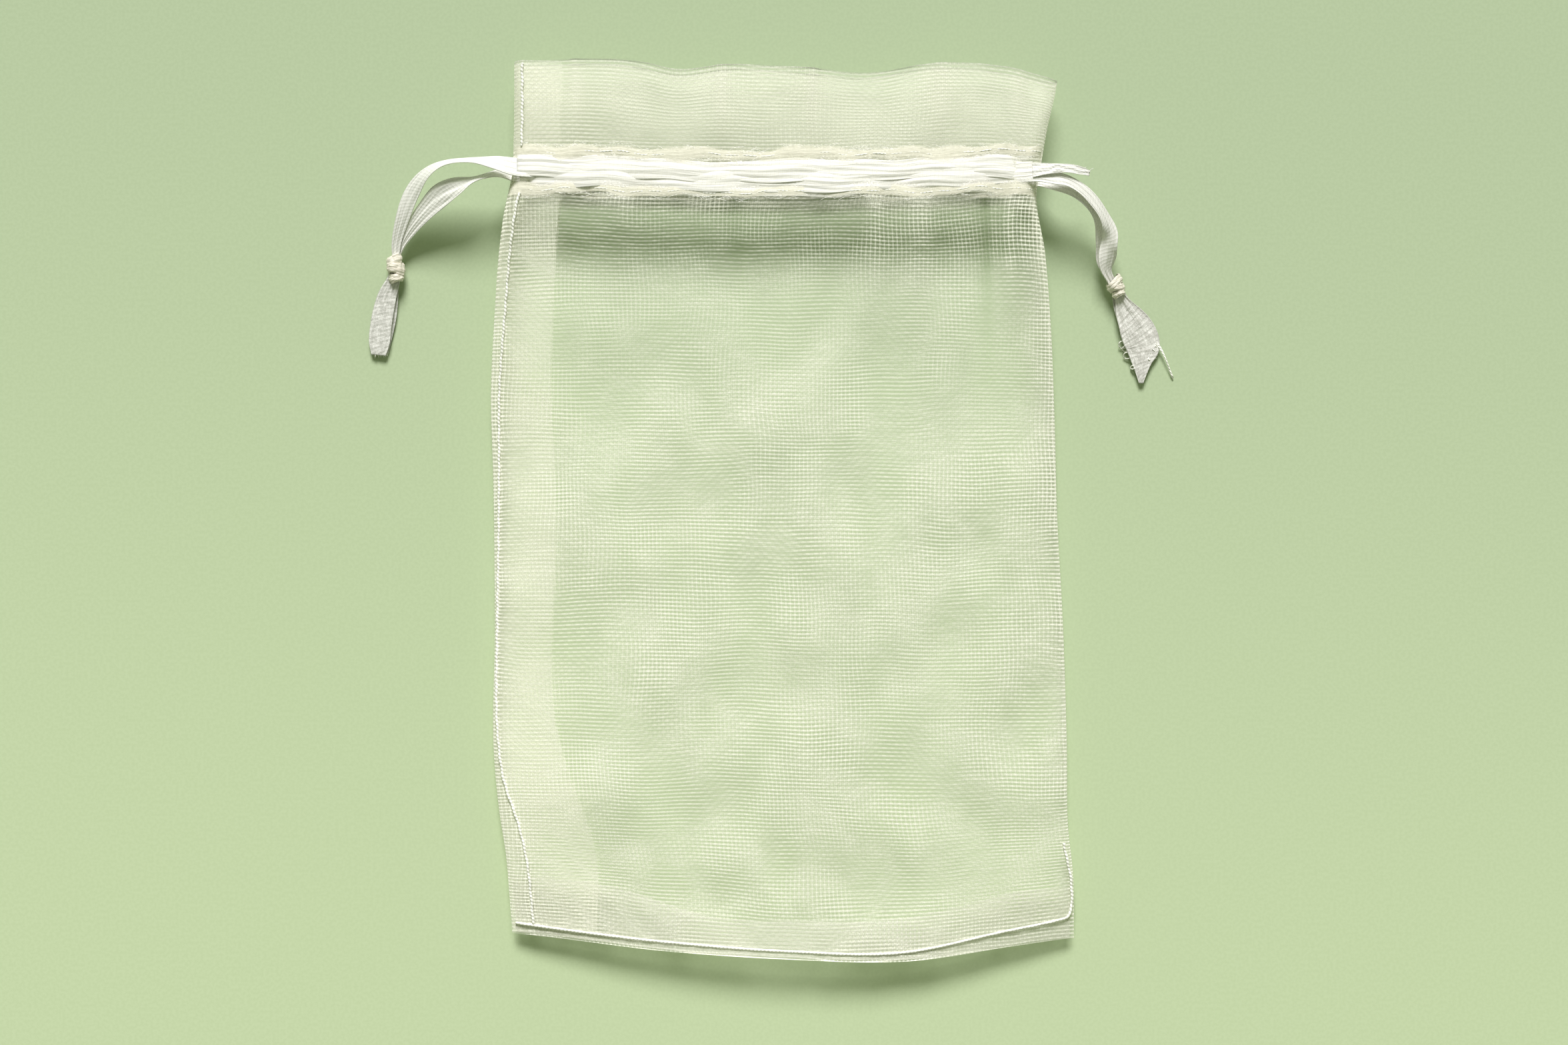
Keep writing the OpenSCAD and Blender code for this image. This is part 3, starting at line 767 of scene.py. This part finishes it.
def make_casing_rows(thread, fluff):
    """The rows of stitches that close the casing, each in the soft ridge that it pulls up."""
    rows = (("front_upper", 1, CASING_TOP - 0.2, 1.2, 0.2),
            ("front_lower", 1, CASING_BOTTOM + 0.25, 1.1, 0.09),
            ("back_upper", -1, CASING_TOP - 0.1, 0.8, -0.2),
            ("back_lower", -1, CASING_BOTTOM + 0.2, 0.7, -0.2))
    across = np.linspace(-1, 1, 13)
    for number, (name, layer, y0, half, height) in enumerate(rows):
        outward = np.sign(height)
        for side in (-1, 1):
            us = side * np.linspace(0, 0.992, 150)
            x = us * half_width(y0)
            sway = 0.22 * np.sin(x / 2.6 + number) + 0.13 * np.sin(x / 1.1 + 2 * number)
            swell = 1 + 0.22 * np.sin(x / 3.3 + 1.3 * number) + 0.12 * np.sin(x / 1.4)
            if name.endswith("lower"):
                swell = swell * (0.74 + 0.30 * (x / 44) ** 2)
            grid_y = y0 + sway[:, None] + across[None, :] * half * swell[:, None]
            points = layer_points(us[:, None] + 0 * grid_y, grid_y, layer)
            points[..., 2] += height * (1 - across ** 2)[None, :] * swell[:, None] + 0.05 * outward
            uvs = np.stack([np.repeat(x, len(across)), np.tile(across, len(x))], -1)
            label = SIDE_NAME[side]
            ridge = new_piece(f"{name}_ridge_{label}", points.reshape(-1, 3),
                              grid_faces(len(x), len(across)), uvs, fluff, "seam_thread")
            ridge.visible_shadow = False
            line = layer_points(us, y0 + sway, layer, height - 0.02 * outward)
            lines = stitch_lines(line, 0.25 * outward, seed=20 + number)
            stitches = tubes_piece(f"{name}_stitches_{label}", lines, 0.11, thread, "seam_thread")
            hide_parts(f"{name}_stitches")
            lines = fuzz_lines(us, y0, sway, half, layer, height, number)
            fuzz = tubes_piece(f"{name}_fuzz_{label}", lines, 0.035, thread, "seam_thread", sides=3)
            fuzz.visible_shadow = False
            for piece in (ridge, stitches, fuzz):
                follow_side(piece)


FIBRES = 210


def fuzz_lines(us, y0, sway, half, layer, height, seed):
    """Short loose fibres that lie along a ridge."""
    rng = random.Random(100 + seed + int(us[-1] > 0))
    lines = []
    for _ in range(FIBRES):
        k = rng.randrange(2, len(us) - 4)
        start = y0 + sway[k] + rng.uniform(-1.1, 1.1) * half
        lean, length = rng.uniform(-0.5, 0.5), rng.uniform(0.8, 2.6)
        t = np.linspace(0, 1, 6)
        reach = us[k] + (t - 0.5) * length / 44
        bend = start + lean * length * (t - 0.5) + rng.uniform(-0.3, 0.3) * np.sin(t * math.pi)
        line = layer_points(np.clip(reach, -0.995, 0.995), bend, layer)
        line[:, 2] += height * rng.uniform(0.5, 1.3) * np.sin(0.3 + t * 2.5)
        lines.append(line)
    return lines


# -------- ribbons
def resample(route, count):
    """A smooth line through a route's points, evenly spaced, and its length."""
    pts = np.asarray(route, float)
    pts = np.vstack([2 * pts[0] - pts[1], pts, 2 * pts[-1] - pts[-2]])
    t = np.linspace(0, 1, 24, endpoint=False)[:, None]
    fine = []
    for i in range(1, len(pts) - 2):
        a, b, c, d = pts[i - 1:i + 3]
        fine.append(0.5 * (2 * b + (c - a) * t + (2 * a - 5 * b + 4 * c - d) * t ** 2
                           + (3 * b - a - 3 * c + d) * t ** 3))
    fine = np.vstack(fine + [pts[-2:-1]])
    distance = lengths_along(fine)
    return points_at(fine, distance, np.linspace(0, distance[-1], count)), distance[-1]


LANE_UV = 6  # the flat ribbon's width in its material's units
COLUMNS, KNOT_COLUMNS = 31, 19


def ribbon_mesh(line, width, normal, pleats, thickness=0.13):
    """A thin closed ribbon: at each station a width, a normal, and the height of its pleats across."""
    tangents = unit(np.gradient(line, axis=0))
    side = unit(np.cross(normal, tangents))
    normal = np.cross(tangents, side)
    columns = pleats.shape[1]
    across = np.linspace(-0.5, 0.5, columns)
    middle = (line[:, None] + side[:, None] * (across[None, :] * width[:, None])[..., None]
              + normal[:, None] * pleats[..., None])
    top = middle + normal[:, None] * thickness / 2
    under = middle - normal[:, None] * thickness / 2
    ring = np.concatenate([top, under[:, ::-1]], axis=1)
    count = ring.shape[1]
    faces = grid_faces(len(line), count, wrap=True).tolist()
    for row in (0, len(line) - 1):
        for j in range(columns - 1):
            quad = [row * count + k for k in (j, j + 1, count - 2 - j, count - 1 - j)]
            faces.append(quad if row else quad[::-1])
    lateral = np.concatenate([across, across[::-1]]) * LANE_UV
    uvs = np.stack([np.repeat(lengths_along(line), count), np.tile(lateral, len(line))], -1)
    return ring.reshape(-1, 3), faces, uvs


def pleated(stations, height, count, drift, seed, columns=COLUMNS):
    """Lengthwise pleats that wander a little: a height for each station and column."""
    s = np.linspace(0, 1, stations)[:, None]
    a = np.linspace(-0.5, 0.5, columns)[None, :]
    height = np.reshape(height, (-1, 1))
    wander = drift * np.sin(s * 9 + seed) + 0.4 * drift * np.sin(s * 23 + 2 * seed)
    fine = 0.45 * np.sin(2 * math.pi * 2.3 * count * a - 1.7 * wander + seed)
    return height * (np.sin(2 * math.pi * count * a + wander) + fine)


def crowned(height, columns):
    """A hump across a ribbon, nothing at its edges."""
    return height * (1 - (2 * np.linspace(-0.5, 0.5, columns)[None, :]) ** 2)


def make_casing_ribbons(material):
    """Each drawstring's loop in the casing: along the front, round the far side and back."""
    lanes = ((-1, curve((-60, 57.2), (-44, 57.2), (-30, 56.9), (-15, 56.3), (0, 56.2), (15, 56.5), (30, 57.0),
                        (44, 57.0)), 0.05, 1.0),
             (1, curve((-44, 55.9), (-32, 55.4), (-15, 54.8), (0, 54.5), (15, 54.8), (30, 55.8), (44, 56.4),
                       (60, 56.4)), -0.02, 2.7))
    radius = (FRONT_RIBBON_Z - BACK_RIBBON_Z) / 2
    angles = np.linspace(math.pi / 2, -math.pi / 2, 26)[1:-1]
    legs = 190
    for side, lane_y, lift, seed in lanes:
        near_exit, far_exit = (EXIT_LEFT, EXIT_RIGHT)[::-side]
        turn_x = far_exit + side * 1.2 + side * radius
        run = np.linspace(near_exit - side * 0.8, turn_x, legs)
        xs = np.concatenate([run, turn_x - side * radius * np.cos(angles), run[::-1]])
        zs = np.concatenate([np.full(legs, FRONT_RIBBON_Z), BACK_RIBBON_Z + radius + radius * np.sin(angles),
                             np.full(legs, BACK_RIBBON_Z)])
        zs = zs + lift * np.where(zs > BACK_RIBBON_Z + radius, 1, -1)
        ys = lane_y(xs) + 0.16 * np.sin(xs / 4.1 + seed) + 0.10 * np.sin(xs / 1.7)
        normal = xyz(np.gradient(zs), 0 * xs, -np.gradient(xs)) * side
        zs = zs + 0.10 * np.sin(xs / 3.1 + 2 * seed) + 0.06 * np.sin(xs / 1.3 + seed)
        width = LANE_W + 0.6 + 0.3 * np.sin(xs / 5.3 + seed) + 0.16 * np.sin(xs / 2.2 + 2 * seed)
        pleats = pleated(len(xs), 0.05, 1.6, 3.2, seed) + pleated(len(xs), 0.018, 4.1, 5.0, seed + 2)
        mesh = ribbon_mesh(xyz(xs, ys, zs), width, normal, pleats + crowned(0.14, COLUMNS), thickness=0.08)
        name = SIDE_NAME[side] + "_ribbon"
        piece = new_piece(name + "_satin", *mesh, material)
        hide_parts(name)
        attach(piece, SIDE_NAME[side] + "_drawstring")


def follow_exit(piece, side):
    """Bakes the piece's placement into its mesh."""
    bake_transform(piece)


STATIONS = 210
WEAR_AND_SHADE_FROM = 0.66


def make_end(name, route, widths, rolls, pleat_height, material, seed):
    """A ribbon's free end, from inside the casing through the knot to its cut end.

    widths in mm, rolls in degrees and pleat_height are curves along it, from 0 to 1.
    """
    line, length = resample(route, STATIONS)
    s = np.linspace(0, 1, STATIONS)
    width, roll = curve(*widths)(s), np.radians(curve(*rolls)(s))
    tangents = unit(np.gradient(line, axis=0))
    flat_side = unit(np.cross((0, 0, 1.0), tangents))
    upright = np.cross(tangents, flat_side)
    normal = upright * np.cos(roll)[:, None] + flat_side * np.sin(roll)[:, None]
    line[:, 2] = np.maximum(line[:, 2], np.abs(np.sin(roll)) * width / 2 + 0.3)
    height = 0.5 * curve(*pleat_height)(s)
    pleats = (pleated(STATIONS, 0.75 * height, 2.6, 1.8, seed)
              + pleated(STATIONS, 0.3 * height, 5.3, 3.0, seed))
    points, faces, uvs = ribbon_mesh(line, width, normal, pleats)
    points[:, 2] = np.maximum(points[:, 2], 0.04)
    piece = new_piece(name + "_satin", points, faces, uvs, material)
    # marks the tail, where the colour darkens in blotches and in painted crease shade
    mark(piece, "worn_and_crease_shade", np.repeat(smooth((s - WEAR_AND_SHADE_FROM) / 0.1), len(points) // STATIONS))
    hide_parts(name)
    follow_exit(piece, name.split("_")[0])


def make_knot(name, centre, heading, wraps, material, body, seed):
    """Turns of ribbon drawn tight round the two ends. wraps: along the knot, radius, width, tilt (deg)."""
    axis = np.array([math.sin(heading), math.cos(heading), 0])
    lateral = np.array([math.cos(heading), -math.sin(heading), 0])
    up = np.array([0, 0, 1.0])
    t = np.linspace(0, 2 * math.pi, 49)
    turns = []
    for k, (along, radius, width, tilt) in enumerate(wraps):
        swell = 1 + 0.09 * np.sin(3 * t + seed + k) + 0.05 * np.sin(7 * t + 2 * k)
        lean = math.tan(math.radians(tilt)) * np.cos(t + 0.3 * k)
        radial = np.cos(t)[:, None] * lateral + np.sin(t)[:, None] * up
        line = (np.asarray(centre) + axis * (along + lean * radius)[:, None]
                + radial * (radius * swell)[:, None]
                + axis * (0.25 * (t / (2 * math.pi) - 0.5))[:, None])
        pleats = pleated(len(t), 0.05, 1.8, 1.5, seed + k, KNOT_COLUMNS) + crowned(0.22, KNOT_COLUMNS)
        points, faces, uvs = ribbon_mesh(line, width * (1 + 0.1 * np.sin(2 * t + k)), radial, pleats,
                                         thickness=0.3)
        turns.append((points, faces, uvs + (k * 9, 0)))
    points, faces, uvs = joined(turns)
    points[:, 2] = np.maximum(points[:, 2], 0.03)
    piece = new_piece(name + "_wraps", points, faces, uvs, material)
    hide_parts(name)
    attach(piece, body)
    return piece


def make_ends(material, tail_material, knot_material):
    left_knot = make_knot("left_knot", (-65.0, 40.7, 1.95), math.radians(-8),
                          ((1.35, 0.95, 1.7, 20), (0.0, 1.12, 1.8, -16), (-1.5, 0.9, 1.5, 10)),
                          knot_material, "left_end", 1.0)
    right_knot = make_knot("right_knot", (55.3, 37.9, 2.3), math.radians(-25),
                           ((0.3, 1.15, 1.3, 22), (-0.5, 1.0, 1.2, -12), (-1.5, 0.75, 1.1, 6)),
                           knot_material, "right_end", 2.2)
    make_end(
        "left_front_end", LEFT_FRONT,
        ((0, 3.2), (0.08, 3.1), (0.15, 2.7), (0.22, 2.6), (0.30, 2.4), (0.36, 2.4), (0.44, 2.9), (0.52, 2.5),
         (0.58, 2.0), (0.63, 1.6), (0.68, 1.3), (0.72, 1.7), (0.80, 3.1), (0.90, 3.6), (0.97, 3.3), (1, 2.4)),
        ((0, 0), (0.12, -30), (0.2, -64), (0.28, -66), (0.38, -40), (0.5, -12), (0.6, 10), (0.7, 0), (1, -4)),
        ((0, 0.08), (0.15, 0.12), (0.35, 0.10), (0.6, 0.15), (0.7, 0.2), (0.85, 0.08), (1, 0.05)),
        material, seed=1.2)
    make_end(
        "left_back_end", LEFT_BACK,
        ((0, 2.9), (0.08, 2.4), (0.14, 2.4), (0.20, 2.2), (0.26, 2.4), (0.31, 3.2), (0.38, 4.0), (0.47, 3.2),
         (0.56, 2.2), (0.63, 1.3), (0.68, 1.1), (0.76, 2.2), (0.88, 3.0), (1, 2.0)),
        ((0, 0), (0.10, -20), (0.20, -60), (0.26, -64), (0.32, -25), (0.5, -8), (0.7, 0), (1, 5)),
        ((0, 0.08), (0.18, 0.15), (0.3, 0.24), (0.45, 0.18), (0.6, 0.2), (0.7, 0.2), (0.85, 0.06), (1, 0.04)),
        material, seed=2.1)
    make_end(
        "right_front_end", RIGHT_FRONT,
        ((0, 3.2), (0.1, 2.6), (0.2, 1.9), (0.28, 2.0), (0.36, 2.0), (0.42, 2.4), (0.48, 3.1), (0.54, 2.6),
         (0.59, 1.6), (0.63, 1.3), (0.67, 1.6), (0.75, 4.4), (0.82, 6.0), (0.885, 5.5), (0.935, 3.1),
         (0.985, 1.2), (1, 0.7)),
        ((0, 0), (0.15, 18), (0.3, 25), (0.40, 22), (0.46, -30), (0.55, 10), (0.65, 0), (0.8, 5), (1, 0)),
        ((0, 0.08), (0.2, 0.11), (0.4, 0.14), (0.6, 0.16), (0.68, 0.2), (0.8, 0.14), (1, 0.05)),
        tail_material, seed=3.3)
    make_end(
        "right_back_end", RIGHT_BACK,
        ((0, 2.9), (0.1, 2.3), (0.2, 2.2), (0.3, 2.3), (0.4, 2.5), (0.48, 3.4), (0.56, 2.8), (0.62, 1.4),
         (0.67, 1.3), (0.78, 3.0), (0.88, 3.6), (0.95, 2.4), (1, 0.8)),
        ((0, 0), (0.15, 22), (0.3, 30), (0.42, 10), (0.6, 0), (1, 8)),
        ((0, 0.08), (0.2, 0.14), (0.4, 0.2), (0.6, 0.2), (0.68, 0.22), (0.8, 0.1), (1, 0.05)),
        tail_material, seed=4.7)
    make_folded_corner(tail_material)


def make_folded_corner(material):
    """The bit of ribbon that is folded over above the right end, where it leaves the casing."""
    stations = 60
    line, _ = resample([(41, 56.4, 9.8), (43.6, 56.6, 10.0), (46.6, 56.7, 9.9), (49.2, 56.3, 9.5),
                        (50.5, 55.9, 9.2)], stations)
    width = curve((0, 2.4), (0.5, 1.5), (0.8, 1.4), (1, 0.9))(np.linspace(0, 1, stations))
    pleats = pleated(stations, 0.06, 1.8, 2.0, 0.6, columns=25)
    mesh = ribbon_mesh(line, width, np.array([0.0, 0.15, 1.0]), pleats)
    follow_exit(new_piece("right_folded_corner", *mesh, material), "right")


def make_fray(thread):
    """Loose threads at the cut ends and at the right exit, and the one long filament."""
    rng = random.Random(11)
    lines = []
    a = np.linspace(-0.4, 1.4 * math.pi, 12)
    for x, y, size in (
            (57.3, 28.2, 1.3), (57.6, 27.5, 0.8), (58.0, 26.4, 1.1), (58.9, 24.4, 0.6), (61.9, 25.9, 0.7)):
        lines.append(xyz(x - 0.45 - size * 0.6 * np.sin(a), y - 0.2 + size * 0.5 * np.cos(a),
                         0.7 + 0.35 * np.sin(a * 1.3 + x)))
    t = np.linspace(0, 1, 8)
    for k in range(5):
        x, y = 62.0 - 0.35 * k, 27.6 - 0.6 * k
        lines.append(xyz(x + rng.uniform(0.5, 1.3) * t, y - 0.5 * t + 0.3 * np.sin(4 * t + k),
                         0.8 - 0.3 * t + 0.2 * np.sin(3 * t + k)))
    t = np.linspace(0, 1, 14)
    for shift in (0.0, 0.09, -0.08):
        lines.append(xyz(62.3 + 2.9 * t ** 0.8 + shift, 28.3 - 5.8 * t + 0.2 * np.sin(5 * t + 9 * shift),
                         0.9 - 0.7 * t + 0.25 * np.sin(3 * t)))
    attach(tubes_piece("right_tail_fray", lines, 0.10, thread, sides=5), "right_end")
    lines = []
    t = np.linspace(0, 1, 7)
    for k in range(16):
        start, lean = rng.uniform(0, 5.5), rng.uniform(-0.9, 0.9)
        x = 44.2 + start + rng.uniform(0.8, 2.2) * t
        y = 57.0 - 0.1 * start + lean * 0.5 * t ** 2 + 0.3 * np.sin(3 * t + k)
        lines.append(xyz(x, y, 9.6 - 0.12 * start + 0.2 * np.sin(4 * t + k)))
    follow_exit(tubes_piece("right_exit_fray", lines, 0.05, thread, sides=4), "right")
    lines = []
    t = np.linspace(0, 1, 5)
    for k in range(14):
        lines.append(xyz(-68.5 + 0.15 * k + rng.uniform(-0.15, 0.15) * t, 26.7 - rng.uniform(0.5, 1.0) * t,
                         0.5 + 0.0 * t + rng.uniform(0, 0.5)))
    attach(tubes_piece("left_tail_fray", lines, 0.06, thread, sides=5), "left_end")


# -------- the model
make_camera()
light_the_scene()

floor_mesh = bpy.data.meshes.new("floor")
floor_mesh.from_pydata([(-1, -1, 0), (1, -1, 0), (1, 1, 0), (-1, 1, 0)], [], [(0, 1, 2, 3)])
floor_mesh.materials.append(painted_card("painted_card"))
floor = add("floor", floor_mesh)
floor.location = (0, 0, -0.0001)

front_cloth = organza("organza_front", 0)
back_cloth = organza("organza_back", 1)
allowance_cloth = organza("organza_allowance", 2, weft=0.30, warp=0.12, clear=0.13)
hem_cloth = organza("organza_hem", 4, weft=0.34, warp=0.14, clear=0.14, tone=0.85)
header_cloth = organza("organza_header", 3, weft=0.22, warp=0.06, clear=0.18)
casing_cloth = organza("organza_casing", 5, weft=0.12, warp=0.03, clear=0.03)
ribbon_satin = satin("ribbon_satin", (0.74, 0.72, 0.67), (0.92, 0.905, 0.865), fibre=1.0)
end_satin = satin("end_satin", (0.74, 0.73, 0.68), (0.98, 0.97, 0.93), weave=0.3)
frayed_satin = satin("frayed_satin", (0.74, 0.72, 0.67), (0.99, 0.98, 0.94), weave=0.35)
knot_satin = satin("knot_satin", (0.66, 0.59, 0.49), (0.96, 0.92, 0.81), weave=0.3)
thread = cream_thread("cream_thread")
fluff = cream_fluff("cream_fluff")

make_casing_ribbons(ribbon_satin)
make_ends(end_satin, frayed_satin, knot_satin)
make_fray(thread)
make_cloth(front_cloth, back_cloth, header_cloth, casing_cloth)
make_allowances(allowance_cloth, hem_cloth)
make_seam_stitches(thread)
make_casing_rows(thread, fluff)
